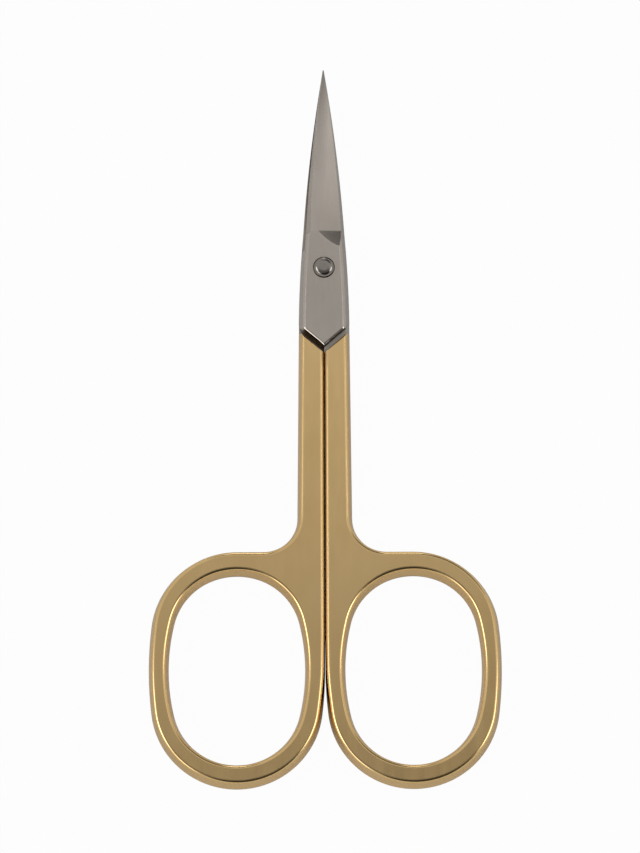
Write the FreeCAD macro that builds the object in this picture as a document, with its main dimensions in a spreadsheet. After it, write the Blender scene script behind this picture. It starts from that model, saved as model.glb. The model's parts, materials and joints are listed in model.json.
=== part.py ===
"""Cuticle scissors: two forged halves on a rivet, with steel blades and gold-plated handles.

Millimetres. The scissors lie flat and closed: X to the right, Y towards the tip, Z up.
The origin is the middle of the underside. Each body is drawn about the pivot axis, with its
sketch plane on the joint between the halves, and its Placement then takes it to its place.
The rear half is drawn like the front half and turned over about Y.
"""
import FreeCAD, Part
import math
import os
import Sketcher

# Driving sizes: millimetres, seen with the tip up, each measured from the pivot axis where it
# is a distance, or from the long axis where it is a half width
SIZES = {
    # Both halves
    "half_thickness": 1.9,      # one half at the joint; a handle is twice as thick
    "joint_gap": 0.05,          # between the inner faces of the halves
    # Blade
    "blade_length": 25.2,       # to the tip
    "heel_distance": 4.67,      # to the heel, where the ground blade starts
    "heel_half_width": 2.52,
    "edge_bulge": 0.27,         # how far the cutting edge bows out
    "tip_half_width": 0.08,
    "tip_thickness": 0.5,
    "tip_rise": 1.3,            # how far the blades curve up by the tip
    "spine_inset": 0.34,        # the spine stands this far inside the other blade's edge
    "spine_wall": 1.0,          # height of the upright part of the spine
    "spine_bevel": 0.54,        # width of the bevel above it
    "ridge_offset": 0.58,       # from the long axis to the ridge of the ground face
    "edge_bevel": 0.4,          # width of the narrow bevel along the cutting edge
    "edge_thickness": 1.54,     # at the top of that bevel
    "plunge_length": 2.02,      # facet from the joint plate down to the ground face
    "hollow_depth": 0.1,        # of the hollow-ground inner face
    # Joint plate
    "plate_half_width": 3.1,    # at the corners of the V
    "plate_length": 7.38,       # to those corners
    "plate_bulge": 0.12,        # how far the sides bow out
    "plate_inset": 0.5,         # how far the sides lean in by the outer face
    "plate_chamfer": 0.26,
    "point_drop": 2.68,         # from the corners of the V to its point
    "shoulder_distance": 2.5,   # to the step where the spine starts
    "groove_width": 0.5,        # between the V and the handles
    "groove_floor": 1.25,       # steel left under the groove
    # Handle
    "handle_gap": 0.04,         # between the closed handles
    "handle_inset": 0.42,       # how far the flat faces stand inside the widest outline
    "edge_rounding": 0.25,      # along the flat faces
    "end_chamfer": 0.15,        # where the shank faces the V
    "shank_half_width": 3.33,   # at the ring end of the shank
    "crotch_radius": 4.2,       # from the shank to the level top of the ring
    "ring_distance": 50.08,     # to the middle of the rings
    "hole_half_width": 8.25,
    "hole_half_height": 11.74,
    "hole_end_radius": 7.77,    # at the ends of the oval hole
    "ring_side_width": 2.42,    # of the ring beside the hole
    "ring_end_width": 2.92,     # of the ring at the ends of the hole
    "ring_end_radius": 10.41,   # outside, at the ends
    "least_bow": 0.2,           # an oval is at least this much wider than its end arcs
    # Rivet
    "rivet_diameter": 1.8,
    "head_diameter": 2.58,
    "head_height": 0.48,        # above the joint plate
    "head_rim": 0.12,           # upright edge of the head above the joint plate
    "recess_depth": 0.15,       # of the seat of the head
    "tail_diameter": 2.5,       # of the countersunk tail
    "tail_depth": 0.45,
    "running_clearance": 0.03,  # round the rivet and under its head
    "tight_clearance": 0.01,    # round the rivet in the rear half
}

# Cross sections of a blade, as shares of the way from the heel to the tip
SECTION_SHARES = (0, 0.1, 0.3, 0.5, 0.7, 0.85, 1)

# A cut reaches this many times the piece's thickness, to come out clear of its faces
CUT_REACH = 2
EDGE_TOLERANCE = 0.01

# How a sketch constraint names the centre of an arc
CENTRE = 3

doc = FreeCAD.newDocument("cuticle_scissors")
sheet = doc.addObject("Spreadsheet::Sheet", "Sizes")
for row, (alias, value) in enumerate(SIZES.items(), start=1):
    sheet.set(f"A{row}", alias)
    sheet.set(f"B{row}", str(value))
    sheet.setAlias(f"B{row}", alias)
doc.recompute()


def size(alias):
    """A driving size as a number, for the first drawing of a sketch."""
    return float(sheet.get(alias))


def cell(alias):
    """A driving size as it is written in a formula."""
    return f"Sizes.{alias}"


# Formulas that several pieces share
HALF_GAP = f"({cell('joint_gap')} / 2)"
HANDLE_SIDE = f"({cell('handle_gap')} / 2)"
V_SLOPE = f"({cell('point_drop')} / {cell('plate_half_width')})"
V_POINT = f"(-{cell('plate_length')} - {cell('point_drop')})"
V_CORNER = f"(-{cell('plate_length')})"
V_AT_HANDLE_SIDE = f"({V_POINT} + {V_SLOPE} * {HANDLE_SIDE})"
SEAM_DROP = f"({cell('groove_width')} * sqrt(1 + {V_SLOPE} ^ 2))"
HOLE_HALF_WIDTH = f"max({cell('hole_half_width')}; {cell('hole_end_radius')} + {cell('least_bow')})"
RING_HALF_WIDTH = (f"max({HOLE_HALF_WIDTH} + {cell('ring_side_width')};"
                   f" {cell('ring_end_radius')} + {cell('least_bow')})")
RING_HALF_HEIGHT = f"({cell('hole_half_height')} + {cell('ring_end_width')})"
RING_MIDDLE_X = f"({HANDLE_SIDE} + {RING_HALF_WIDTH})"
RING_MIDDLE_Y = f"(-{cell('ring_distance')})"
PIVOT_Y = f"(({cell('ring_distance')} + {RING_HALF_HEIGHT} - {cell('blade_length')}) / 2)"
CUT_HEIGHT = f"({cell('half_thickness')} * {CUT_REACH})"


# Sketching

def new_body(label):
    body = doc.addObject("PartDesign::Body", label)
    body.Label = label
    return body


def origin_plane(body, role):
    return next(item for item in body.Origin.OriginFeatures if item.Role == role)


def new_sketch(body, name, role):
    """A sketch on one of the body's origin planes."""
    sketch = body.newObject("Sketcher::SketchObject", name)
    sketch.AttachmentSupport = [(origin_plane(body, role), "")]
    sketch.MapMode = "FlatFace"
    return sketch


def drawn_value(sketch, kind, target):
    """What a dimension measures on the sketch as first drawn."""
    if kind == "Radius":
        return sketch.Geometry[target[0]].Radius
    points = [sketch.getPoint(*target[i:i + 2]) for i in range(0, len(target), 2)]
    places = [point.x if kind == "DistanceX" else point.y for point in points]
    return places[0] if len(places) == 1 else places[1] - places[0]


def dimension(sketch, kind, *target, formula):
    """Add a dimension to a sketch and bind it to the sheet."""
    value = drawn_value(sketch, kind, target)
    index = sketch.addConstraint(Sketcher.Constraint(kind, *target, value))
    sketch.setExpression(f"Constraints[{index}]", formula)


def fix_point(sketch, geometry, point, x, y):
    dimension(sketch, "DistanceX", geometry, point, formula=x)
    dimension(sketch, "DistanceY", geometry, point, formula=y)


def join(sketch, kind, first, second):
    """Join the end of one curve to the start of the next, as a corner or smoothly."""
    sketch.addConstraint(Sketcher.Constraint(kind, first, 2, second, 1))


def draw_polygon(sketch, corners):
    """A closed polygon through corners given as pairs of formulas."""
    count = len(corners)
    turn = 2 * math.pi / count
    start = [FreeCAD.Vector(math.cos(i * turn), math.sin(i * turn), 0) for i in range(count)]
    sides = [sketch.addGeometry(Part.LineSegment(start[i], start[(i + 1) % count]))
             for i in range(count)]
    for i, side in enumerate(sides):
        join(sketch, "Coincident", side, sides[(i + 1) % count])
    for side, (x, y) in zip(sides, corners):
        fix_point(sketch, side, 1, x, y)


def arc(middle, radius, first, last):
    """A counter-clockwise arc between two angles in radians."""
    axis = FreeCAD.Vector(0, 0, 1)
    return Part.ArcOfCircle(Part.Circle(middle, axis, radius), first, last)


def edges_where(feature, test):
    """Names of the edges of a feature that pass a test."""
    edges = enumerate(feature.Shape.Edges, start=1)
    return [f"Edge{i}" for i, edge in edges if test(edge)]


def lies_at(edge, height):
    """Whether an edge lies flat at a height above or below the joint."""
    box = edge.BoundBox
    is_flat = box.ZLength < EDGE_TOLERANCE
    return is_flat and abs(abs(box.Center.z) - height) < EDGE_TOLERANCE


def middle_of(edge):
    return edge.valueAt((edge.FirstParameter + edge.LastParameter) / 2)


def dress(body, kind, name, size_property, formula, test):
    """Round or chamfer those edges of the body's last feature that pass a test."""
    doc.recompute()
    base = body.Tip
    feature = body.newObject(kind, name)
    feature.Base = (base, edges_where(base, test))
    feature.setExpression(size_property, formula)
    return feature


def pad_from_joint(body, sketch, name, height):
    """Pad a sketch from the inner face of a half to a height above the joint."""
    sketch.setExpression("AttachmentOffset.Base.z", HALF_GAP)
    pad = body.newObject("PartDesign::Pad", name)
    pad.Profile = sketch
    pad.setExpression("Length", f"{height} - {HALF_GAP}")
    return pad


def turn_profile(body, kind, name, sketch):
    """Revolve a profile about the pivot axis, as a solid or as a cut."""
    feature = body.newObject(kind, name)
    feature.Profile = sketch
    feature.ReferenceAxis = (sketch, ["V_Axis"])
    feature.Angle = 360
    return feature


# Blades

def taper(at_heel, at_tip, share):
    """A formula that runs evenly from its value at the heel to its value at the tip."""
    return f"({at_heel} * {1 - share:.4f} + {at_tip} * {share:.4f})"


def section_corners(share, curve):
    """Corners of a blade's cross section, seen with the cutting edge on the right."""
    bow = 4 * share * (1 - share)
    lift = f"{curve} * {cell('tip_rise')} * {share ** 2:.4f}"
    tip = cell("tip_half_width")
    width = f"({taper(cell('heel_half_width'), tip, share)} + {cell('edge_bulge')} * {bow:.4f})"
    spine = f"({width} - {taper(cell('spine_inset'), 0, share)})"
    spine_bevel = taper(cell("spine_bevel"), f"{tip} / 2", share)
    spine_wall = taper(cell("spine_wall"), cell("tip_thickness") + " / 2", share)
    bevel = taper(cell("edge_bevel"), f"{tip} / 2", share)
    outer = f"({taper(cell('half_thickness'), cell('tip_thickness'), share)} + {lift})"
    bevel_top = f"({taper(cell('edge_thickness'), cell('tip_thickness') + ' / 2', share)} + {lift})"
    inner = f"({HALF_GAP} + {lift})"
    hollow = f"({inner} + {taper(cell('hollow_depth'), 0, share)})"
    return [
        (width, inner),
        (f"{width} - {bevel}", bevel_top),
        (taper(f"-{cell('ridge_offset')}", 0, share), outer),
        (f"-({spine} - {spine_bevel})", outer),
        (f"-{spine}", f"{spine_wall} + {lift}"),
        (f"-{spine}", inner),
        (f"({width} - {spine}) / 2", hollow),
    ]


def draw_plate(sketch):
    """Outline of the joint plate, with a V at one end and the heel at the other."""
    half, heel = size("plate_half_width"), size("heel_half_width")
    corner_y, heel_y = -size("plate_length"), size("heel_distance")
    bulge = size("plate_bulge")
    point = FreeCAD.Vector(0, corner_y - size("point_drop"), 0)
    right = FreeCAD.Vector(half, corner_y, 0)
    left = FreeCAD.Vector(-half, corner_y, 0)
    heel_right = FreeCAD.Vector(heel, heel_y, 0)
    heel_left = FreeCAD.Vector(-heel, heel_y, 0)
    chord = heel_right - right
    radius = (chord.Length ** 2 / 4 + bulge ** 2) / (2 * bulge)
    outwards = FreeCAD.Vector(chord.y, -chord.x, 0).normalize()
    middle = (right + heel_right) / 2 - outwards * (radius - bulge)
    mirrored = FreeCAD.Vector(-middle.x, middle.y, 0)
    first = math.atan2(right.y - middle.y, right.x - middle.x)
    last = math.atan2(heel_right.y - middle.y, heel_right.x - middle.x)

    sketch.addGeometry(Part.LineSegment(point, right))
    sketch.addGeometry(arc(middle, radius, first, last))
    sketch.addGeometry(Part.LineSegment(heel_right, heel_left))
    sketch.addGeometry(arc(mirrored, radius, math.pi - last, math.pi - first))
    sketch.addGeometry(Part.LineSegment(left, point))
    v_right, side_right, heel_line, side_left, v_left = range(5)
    order = (v_right, side_right, heel_line, side_left, v_left)
    for i, curve in enumerate(order):
        join(sketch, "Coincident", curve, order[(i + 1) % len(order)])
    fix_point(sketch, v_right, 1, "0", V_POINT)
    fix_point(sketch, side_right, 1, cell("plate_half_width"), V_CORNER)
    fix_point(sketch, heel_line, 1, cell("heel_half_width"), cell("heel_distance"))
    fix_point(sketch, side_left, 1, f"-{cell('heel_half_width')}", cell("heel_distance"))
    fix_point(sketch, v_left, 1, f"-{cell('plate_half_width')}", V_CORNER)
    chord_squared = (f"(({cell('plate_length')} + {cell('heel_distance')}) ^ 2"
                     f" + ({cell('plate_half_width')} - {cell('heel_half_width')}) ^ 2)")
    bulge_cell = cell("plate_bulge")
    radius_formula = f"{chord_squared} / (8 * {bulge_cell}) + {bulge_cell} / 2"
    dimension(sketch, "Radius", side_right, formula=radius_formula)
    dimension(sketch, "Radius", side_left, formula=radius_formula)


def lean_sides(body):
    """Lean the sides of the joint plate in towards its outer face."""
    doc.recompute()
    plate = body.Tip
    faces = enumerate(plate.Shape.Faces, start=1)
    sides = [f"Face{i}" for i, face in faces if face.Surface.TypeId == "Part::GeomCylinder"]
    draft = body.newObject("PartDesign::Draft", "SideDraft")
    draft.Base = (plate, sides)
    draft.NeutralPlane = (origin_plane(body, "XY_Plane"), [""])
    draft.setExpression("Angle", f"atan({cell('plate_inset')} / {cell('half_thickness')})")


def cut_plunge(body):
    """Slope the corner of the joint plate down to the start of the ground face."""
    sketch = new_sketch(body, "PlungeSection", "XZ_Plane")
    across = f"({cell('heel_half_width')} - {cell('edge_bevel')} + {cell('ridge_offset')})"
    along = cell("plunge_length")
    upright = FreeCAD.Vector(0, 1, 0)
    sketch.AttachmentOffset = FreeCAD.Placement(FreeCAD.Vector(), FreeCAD.Rotation(upright, 45))
    sketch.setExpression("AttachmentOffset.Base.x", f"-{cell('ridge_offset')}")
    sketch.setExpression("AttachmentOffset.Base.z", f"-{cell('heel_distance')}")
    sketch.setExpression("AttachmentOffset.Rotation.Angle", f"atan({across} / {along})")
    reach = f"({CUT_REACH} * {across} * {along} / sqrt({across} ^ 2 + {along} ^ 2))"
    top = cell("half_thickness")
    low = f"{top} - {CUT_REACH} * ({top} - {cell('edge_thickness')})"
    draw_polygon(sketch, [("0", top), (reach, low), (reach, top)])
    pocket = body.newObject("PartDesign::Pocket", "Plunge")
    pocket.Profile = sketch
    pocket.Type = "ThroughAll"
    pocket.Midplane = True


def chamfer_plate(body):
    """Chamfer the outer edges of the joint plate, apart from the heel."""
    top = size("half_thickness")

    def on_sides(edge):
        is_arc = edge.Curve.TypeId == "Part::GeomCircle"
        return lies_at(edge, top) and (is_arc or middle_of(edge).y < -size("plate_length"))

    dress(body, "PartDesign::Chamfer", "PlateChamfer", "Size", cell("plate_chamfer"), on_sides)


def cut_spine(body):
    """Step the side of the joint plate in to the spine, from the shoulder to the heel."""
    sketch = new_sketch(body, "SpineOutline", "XY_Plane")
    heel, shoulder = cell("heel_distance"), cell("shoulder_distance")
    inset = cell("spine_inset")
    share = f"(({heel} - {shoulder}) / ({heel} + {cell('plate_length')}))"
    wider = (f"(({cell('plate_half_width')} - {cell('heel_half_width')}) * {share}"
             f" + 4 * {cell('plate_bulge')} * {share} * (1 - {share}))")
    spine_x = f"({inset} - {cell('heel_half_width')})"
    shoulder_x = f"({spine_x} - {wider})"
    clear_x = f"({shoulder_x} - {CUT_REACH} * {inset})"
    draw_polygon(sketch, [
        (spine_x, heel),
        (clear_x, heel),
        (clear_x, f"{shoulder} - {CUT_REACH} * {inset}"),
        (shoulder_x, shoulder),
    ])
    pocket = body.newObject("PartDesign::Pocket", "Spine")
    pocket.Profile = sketch
    pocket.Type = "ThroughAll"
    pocket.Midplane = True


def add_neck(body):
    """Floor of the groove, which joins the plate to its own handle."""
    sketch = new_sketch(body, "NeckOutline", "XY_Plane")
    outer = cell("plate_half_width")
    draw_polygon(sketch, [
        (HANDLE_SIDE, V_AT_HANDLE_SIDE),
        (HANDLE_SIDE, f"{V_AT_HANDLE_SIDE} - {SEAM_DROP}"),
        (outer, f"{V_CORNER} - {SEAM_DROP}"),
        (outer, V_CORNER),
    ])
    pad_from_joint(body, sketch, "Neck", cell("groove_floor"))


def add_ground_blade(body, curve):
    """Loft the blade through its cross sections, from the heel to the tip."""
    sections = []
    for number, share in enumerate(SECTION_SHARES):
        sketch = new_sketch(body, f"Section{number}", "XZ_Plane")
        station = taper(cell("heel_distance"), cell("blade_length"), share)
        sketch.setExpression("AttachmentOffset.Base.z", f"-{station}")
        draw_polygon(sketch, section_corners(share, curve))
        sections.append(sketch)
    loft = body.newObject("PartDesign::AdditiveLoft", "GroundBlade")
    loft.Profile = sections[0]
    loft.Sections = sections[1:]


def bore_plate(body, corners):
    """Turn the pivot hole out of the joint plate."""
    sketch = new_sketch(body, "BoreProfile", "XZ_Plane")
    draw_polygon(sketch, corners)
    turn_profile(body, "PartDesign::Groove", "Bore", sketch)


def head_bore():
    """Profile of the front half's hole, with the seat of the rivet head."""
    clearance = cell("running_clearance")
    hole = f"({cell('rivet_diameter')} / 2 + {clearance})"
    seat = f"({cell('head_diameter')} / 2 + {clearance})"
    floor = f"{cell('half_thickness')} - {cell('recess_depth')} - {clearance}"
    return [("0", f"-{CUT_HEIGHT}"), (hole, f"-{CUT_HEIGHT}"), (hole, floor),
            (seat, floor), (seat, CUT_HEIGHT), ("0", CUT_HEIGHT)]


def tail_bore():
    """Profile of the rear half's hole, with the countersink of the rivet tail."""
    clearance = cell("tight_clearance")
    hole = f"({cell('rivet_diameter')} / 2 + {clearance})"
    rim = f"({cell('tail_diameter')} / 2 + {clearance})"
    face = cell("half_thickness")
    return [("0", f"-{CUT_HEIGHT}"), (hole, f"-{CUT_HEIGHT}"),
            (hole, f"{face} - {cell('tail_depth')}"), (rim, face), (rim, CUT_HEIGHT), ("0", CUT_HEIGHT)]


def make_blade(label, curve, bore):
    """One blade with its joint plate; curve is 1 to bend outwards and -1 to bend inwards."""
    body = new_body(label)
    outline = new_sketch(body, "PlateOutline", "XY_Plane")
    draw_plate(outline)
    pad_from_joint(body, outline, "Plate", cell("half_thickness"))
    lean_sides(body)
    chamfer_plate(body)
    cut_plunge(body)
    cut_spine(body)
    add_neck(body)
    add_ground_blade(body, curve)
    bore_plate(body, bore)
    return body


# Handles

class Oval:
    """An oval of four arcs round the middle of a ring."""

    def __init__(self, half_width, half_height, end_radius, widths):
        """Widths are the oval's half width, half height and end radius as formulas."""
        wider = half_width - end_radius
        rise = half_height - end_radius
        self.inset = (rise ** 2 - wider ** 2) / (2 * wider)
        self.end_radius = end_radius
        self.side_radius = half_width + self.inset
        self.angle = math.atan2(rise, self.inset)
        x = size("handle_gap") / 2 + ring_half_width()
        y = -size("ring_distance")
        self.top = FreeCAD.Vector(x, y + rise, 0)
        self.bottom = FreeCAD.Vector(x, y - rise, 0)
        self.right = FreeCAD.Vector(x - self.inset, y, 0)
        self.left = FreeCAD.Vector(x + self.inset, y, 0)
        width_formula, height_formula, self.end_formula = widths
        wider_formula = f"({width_formula} - {self.end_formula})"
        self.rise_formula = f"({height_formula} - {self.end_formula})"
        self.inset_formula = f"(({self.rise_formula} ^ 2 - {wider_formula} ^ 2) / (2 * {wider_formula}))"

    def top_arc(self, margin, last):
        return arc(self.top, self.end_radius + margin, self.angle, last)

    def right_arc(self, margin):
        return arc(self.right, self.side_radius + margin, -self.angle, self.angle)

    def bottom_arc(self, margin):
        first, last = math.pi + self.angle, 2 * math.pi - self.angle
        return arc(self.bottom, self.end_radius + margin, first, last)

    def left_arc(self, margin, first):
        return arc(self.left, self.side_radius + margin, first, math.pi + self.angle)

    def fix(self, sketch, top, right, bottom, left, margin):
        """Bind the arcs of an outline that stands outside the oval by a margin."""
        fix_point(sketch, top, CENTRE, RING_MIDDLE_X, f"{RING_MIDDLE_Y} + {self.rise_formula}")
        fix_point(sketch, bottom, CENTRE, RING_MIDDLE_X, f"{RING_MIDDLE_Y} - {self.rise_formula}")
        dimension(sketch, "Radius", top, formula=f"{self.end_formula} + {margin}")
        dimension(sketch, "Radius", bottom, formula=f"{self.end_formula} + {margin}")
        dimension(sketch, "DistanceX", right, CENTRE, formula=f"{RING_MIDDLE_X} - {self.inset_formula}")
        dimension(sketch, "DistanceX", left, CENTRE, formula=f"{RING_MIDDLE_X} + {self.inset_formula}")


def hole_half_width():
    return max(size("hole_half_width"), size("hole_end_radius") + size("least_bow"))


def ring_half_width():
    return max(hole_half_width() + size("ring_side_width"), size("ring_end_radius") + size("least_bow"))


def hole_oval():
    return Oval(hole_half_width(), size("hole_half_height"), size("hole_end_radius"),
                (HOLE_HALF_WIDTH, cell("hole_half_height"), cell("hole_end_radius")))


def ring_oval():
    return Oval(ring_half_width(), size("hole_half_height") + size("ring_end_width"),
                size("ring_end_radius"), (RING_HALF_WIDTH, RING_HALF_HEIGHT, cell("ring_end_radius")))


def draw_hole(sketch, share):
    """Outline of the finger hole, widened by a share of the inset of the flat faces."""
    oval = hole_oval()
    margin = share * size("handle_inset")
    sketch.addGeometry(oval.top_arc(margin, math.pi - oval.angle))
    sketch.addGeometry(oval.left_arc(margin, math.pi - oval.angle))
    sketch.addGeometry(oval.bottom_arc(margin))
    sketch.addGeometry(oval.right_arc(margin))
    top, left, bottom, right = range(4)
    for first, second in ((top, left), (left, bottom), (bottom, right), (right, top)):
        join(sketch, "Tangent", first, second)
    oval.fix(sketch, top, right, bottom, left, f"{share} * {cell('handle_inset')}")


def draw_handle(sketch, share):
    """Outline of the shank and ring, drawn in by a share of the inset of the flat faces."""
    oval = ring_oval()
    inset = share * size("handle_inset")
    side = size("handle_gap") / 2 + inset
    v_slope = size("point_drop") / size("plate_half_width")
    seam_drop = size("groove_width") * math.sqrt(1 + v_slope ** 2)
    seam_start = -size("plate_length") - size("point_drop") - seam_drop
    outer_x = size("plate_half_width") - inset
    outer = FreeCAD.Vector(outer_x, seam_start + v_slope * outer_x, 0)
    inner = FreeCAD.Vector(side, seam_start + v_slope * side, 0)
    crotch = size("crotch_radius") + inset
    ring_top = oval.top + FreeCAD.Vector(0, oval.end_radius - inset, 0)
    web_start = FreeCAD.Vector(size("shank_half_width") + size("crotch_radius"), ring_top.y, 0)
    centre = web_start + FreeCAD.Vector(0, crotch, 0)
    to_centre = centre - outer
    heading = math.atan2(to_centre.y, to_centre.x) - math.asin(crotch / to_centre.Length)
    run = math.sqrt(to_centre.Length ** 2 - crotch ** 2)
    shank_end = outer + FreeCAD.Vector(math.cos(heading), math.sin(heading), 0) * run
    from_centre = shank_end - centre
    touch_shank = math.atan2(from_centre.y, from_centre.x) % (2 * math.pi)
    ring_side = FreeCAD.Vector(side, -size("ring_distance"), 0)

    sketch.addGeometry(Part.LineSegment(ring_side, inner))
    sketch.addGeometry(Part.LineSegment(inner, outer))
    sketch.addGeometry(Part.LineSegment(outer, shank_end))
    sketch.addGeometry(arc(centre, crotch, touch_shank, 1.5 * math.pi))
    sketch.addGeometry(Part.LineSegment(web_start, ring_top))
    sketch.addGeometry(oval.top_arc(-inset, math.pi / 2))
    sketch.addGeometry(oval.right_arc(-inset))
    sketch.addGeometry(oval.bottom_arc(-inset))
    sketch.addGeometry(oval.left_arc(-inset, math.pi))
    inside, end, outside, crotch_arc, web, top, right, bottom, left = range(9)
    join(sketch, "Coincident", inside, end)
    join(sketch, "Coincident", end, outside)
    join(sketch, "Tangent", outside, crotch_arc)
    join(sketch, "Tangent", crotch_arc, web)
    sketch.addConstraint(Sketcher.Constraint("Horizontal", web))
    sketch.addConstraint(Sketcher.Constraint("Tangent", web, 2, top, 2))
    join(sketch, "Tangent", right, top)
    join(sketch, "Tangent", bottom, right)
    join(sketch, "Tangent", left, bottom)
    sketch.addConstraint(Sketcher.Constraint("Tangent", left, 1, inside, 1))
    inset_formula = f"({share} * {cell('handle_inset')})"
    inner_x = f"({HANDLE_SIDE} + {inset_formula})"
    outer_x_formula = f"({cell('plate_half_width')} - {inset_formula})"
    seam = f"{V_POINT} - {SEAM_DROP} + {V_SLOPE}"
    fix_point(sketch, end, 1, inner_x, f"{seam} * {inner_x}")
    fix_point(sketch, outside, 1, outer_x_formula, f"{seam} * {outer_x_formula}")
    dimension(sketch, "Radius", crotch_arc, formula=f"{cell('crotch_radius')} + {inset_formula}")
    dimension(sketch, "DistanceX", crotch_arc, CENTRE,
              formula=f"{cell('shank_half_width')} + {cell('crotch_radius')}")
    oval.fix(sketch, top, right, bottom, left, f"-{inset_formula}")
    dimension(sketch, "DistanceY", left, CENTRE, formula=RING_MIDDLE_Y)


def loft_handle(body, kind, name, draw):
    """Loft an outline that is plain at mid-thickness and set in at both flat faces."""
    sections = []
    for level in (-1, 0, 1):
        sketch = new_sketch(body, f"{name}Outline", "XY_Plane")
        sketch.setExpression("AttachmentOffset.Base.z", f"{level} * {cell('half_thickness')}")
        draw(sketch, abs(level))
        sections.append(sketch)
    loft = body.newObject(kind, name)
    loft.Profile = sections[0]
    loft.Sections = sections[1:]
    loft.Ruled = True


def cut_end_chamfers(body):
    """Chamfer the edges of both flat faces where the shank faces the V."""
    sketch = new_sketch(body, "EndSection", "XZ_Plane")
    upright = FreeCAD.Vector(0, 1, 0)
    sketch.AttachmentOffset = FreeCAD.Placement(FreeCAD.Vector(), FreeCAD.Rotation(upright, 45))
    sketch.setExpression("AttachmentOffset.Base.z", f"-({V_POINT} - {SEAM_DROP})")
    sketch.setExpression("AttachmentOffset.Rotation.Angle", f"atan({V_SLOPE}) - 90 deg")
    chamfer, face = cell("end_chamfer"), cell("half_thickness")
    for side in (1, -1):
        draw_polygon(sketch, [
            (f"-{chamfer}", f"{side} * ({face} - 2 * {chamfer})"),
            (f"2 * {chamfer}", f"{side} * ({face} + {chamfer})"),
            (f"-{chamfer}", f"{side} * ({face} + {chamfer})"),
        ])
    pocket = body.newObject("PartDesign::Pocket", "EndChamfers")
    pocket.Profile = sketch
    pocket.Type = "ThroughAll"
    pocket.Midplane = True


def make_handle(label):
    """One shank with its finger ring, as thick as both halves together and widest midway."""
    body = new_body(label)
    loft_handle(body, "PartDesign::AdditiveLoft", "Handle", draw_handle)
    loft_handle(body, "PartDesign::SubtractiveLoft", "FingerHole", draw_hole)
    half = size("half_thickness")
    shank_top = -size("plate_length") - size("point_drop") - 2 * size("groove_width")

    def on_flat_face(edge):
        return lies_at(edge, half) and middle_of(edge).y < shank_top

    dress(body, "PartDesign::Fillet", "EdgeRounding", "Radius", cell("edge_rounding"), on_flat_face)
    cut_end_chamfers(body)
    return body


# Rivet

def make_rivet(label):
    """The rivet: domed head, plain shank and a tail that ends flush with the rear half."""
    body = new_body(label)
    sketch = new_sketch(body, "RivetProfile", "XZ_Plane")
    half, shank = size("half_thickness"), size("rivet_diameter") / 2
    head, tail = size("head_diameter") / 2, size("tail_diameter") / 2
    seat = half - size("recess_depth")
    rim, crown = half + size("head_rim"), half + size("head_height")
    dome = crown - rim
    radius = (head ** 2 + dome ** 2) / (2 * dome)
    middle = FreeCAD.Vector(0, crown - radius, 0)
    corners = [(0, crown), (0, -half), (tail, -half), (shank, size("tail_depth") - half),
               (shank, seat), (head, seat), (head, rim)]
    points = [FreeCAD.Vector(x, y, 0) for x, y in corners]
    for first, second in zip(points, points[1:]):
        sketch.addGeometry(Part.LineSegment(first, second))
    sketch.addGeometry(arc(middle, radius, math.asin((rim - middle.y) / radius), math.pi / 2))
    count = len(points)
    for i in range(count):
        join(sketch, "Coincident", i, (i + 1) % count)
    face = cell("half_thickness")
    shank_x, head_x = f"{cell('rivet_diameter')} / 2", f"{cell('head_diameter')} / 2"
    seat_y = f"{face} - {cell('recess_depth')}"
    formulas = [("0", f"{face} + {cell('head_height')}"), ("0", f"-{face}"),
                (f"{cell('tail_diameter')} / 2", f"-{face}"),
                (shank_x, f"{cell('tail_depth')} - {face}"), (shank_x, seat_y), (head_x, seat_y),
                (head_x, f"{face} + {cell('head_rim')}")]
    for i, (x, y) in enumerate(formulas):
        fix_point(sketch, i, 1, x, y)
    dimension(sketch, "DistanceX", count - 1, CENTRE, formula="0")
    turn_profile(body, "PartDesign::Revolution", "Rivet", sketch)
    return body


# Assembly

def place(body, turned_over):
    """Put a body drawn about the pivot where it belongs, turned over for the rear half."""
    turn = FreeCAD.Rotation(FreeCAD.Vector(0, 1, 0), 180 if turned_over else 0)
    body.Placement = FreeCAD.Placement(FreeCAD.Vector(), turn)
    body.setExpression("Placement.Base.y", PIVOT_Y)
    body.setExpression("Placement.Base.z", cell("half_thickness"))


pieces = [
    (make_blade("front_blade", 1, head_bore()), False),
    (make_handle("front_handle"), False),
    (make_blade("rear_blade", -1, tail_bore()), True),
    (make_handle("rear_handle"), True),
    (make_rivet("pivot_rivet"), False),
]
for piece, turned_over in pieces:
    place(piece, turned_over)
doc.recompute()

failed = [item.Name for item in doc.Objects if {"Invalid", "Error"} & set(item.State)]
features = [item for item in doc.Objects if item.isDerivedFrom("PartDesign::Feature")]
for item in features + [piece for piece, _ in pieces]:
    if item.Shape.isNull() or not item.Shape.isValid() or len(item.Shape.Solids) != 1:
        failed.append(item.Label)
if failed:
    raise RuntimeError(f"these did not build: {failed}")

os.makedirs("parts", exist_ok=True)
for piece, _ in pieces:
    piece.Shape.exportStep(f"parts/{piece.Label}.step")
    print(piece.Label, len(piece.Shape.Solids), "solid", round(piece.Shape.Volume, 2), "mm3")
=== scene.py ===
"""Looks of the cuticle scissors: finer meshes for the five pieces, materials, light and camera.

Sizes are in millimetres and meshes in metres. Each piece is drawn about the pivot axis, with the
joint between the halves at height 0. The rear half is drawn like the front half and turned over.
"""
import json
import math

import bmesh
import bpy
from mathutils import Matrix, Vector


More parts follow.
